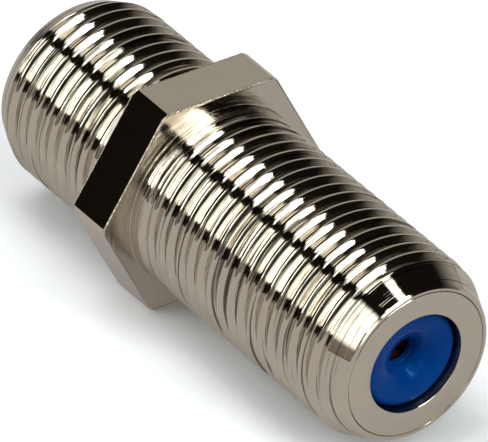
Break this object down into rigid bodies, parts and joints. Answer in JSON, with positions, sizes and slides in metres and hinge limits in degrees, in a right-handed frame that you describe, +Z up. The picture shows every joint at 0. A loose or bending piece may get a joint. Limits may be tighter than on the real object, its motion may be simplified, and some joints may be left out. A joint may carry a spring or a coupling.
{
  "type": "f coaxial coupler",
  "caption": "Straight coaxial coupler: a nickel-plated barrel with a hex collar between a long and a short threaded post, each with a blue insulator around a spring contact.",
  "frame": {"origin": "on the connector's axis, at the front face of the hex collar, which is where the long post begins", "axes": "+X along the connector's axis, out of the long post; +Z up, the normal of the upper hex flat; +Y across, towards one corner of the hex"},
  "size_m": [0.0271, 0.0124, 0.011],
  "materials": {
    "nickel_shell": "nickel-plated brass, bright, with fine turning marks",
    "nickel_ring": "nickel-plated brass, satin flat face",
    "blue_insulator": "moulded blue polypropylene, glossy",
    "contact_bronze": "bare phosphor bronze strip, rolled"
  },
  "bodies": {
    "root": {"body_shell": "nickel_shell", "end_ring": "nickel_ring", "long_insulator": "blue_insulator", "short_insulator": "blue_insulator", "spring_contact": "contact_bronze"}
  },
  "joints": []
}
